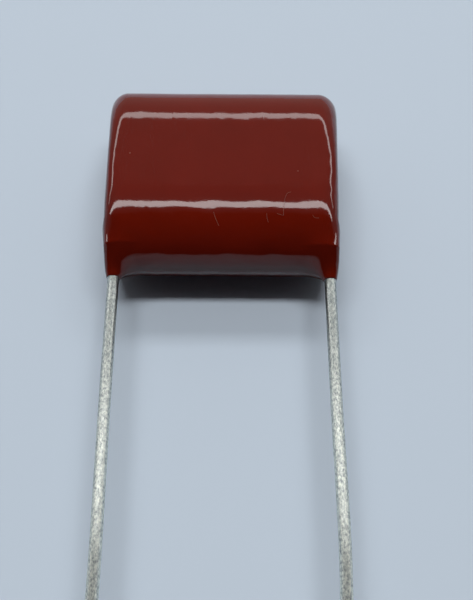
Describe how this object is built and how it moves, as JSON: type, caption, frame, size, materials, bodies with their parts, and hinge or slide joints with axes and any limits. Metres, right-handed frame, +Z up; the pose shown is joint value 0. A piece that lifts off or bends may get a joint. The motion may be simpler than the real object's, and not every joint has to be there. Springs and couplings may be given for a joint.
{
  "type": "dipped film capacitor",
  "caption": "Epoxy-dipped film capacitor with two parallel wire leads, lying on its flat back face with the leads to the front.",
  "frame": {"origin": "middle of the flat back face, on the surface that the part lies on", "axes": "X runs from the left lead to the right lead, -Y is the way the leads point, +Z is up through the thickness"},
  "size_m": [0.0166, 0.0402, 0.0076],
  "materials": {
    "epoxy_coat": "glossy brick-red dipped epoxy",
    "metallised_film": "grey metallised polypropylene film",
    "plain_film": "clear polypropylene film",
    "sprayed_metal": "matt sprayed zinc",
    "tinned_wire": "bright tinned wire, slightly drawn and pitted"
  },
  "bodies": {
    "root": {"epoxy_coat": "epoxy_coat", "film_winding": "metallised_film", "cover_film": "plain_film", "left_end_contact": "sprayed_metal", "right_end_contact": "sprayed_metal", "left_lead": "tinned_wire", "right_lead": "tinned_wire"}
  },
  "joints": []
}
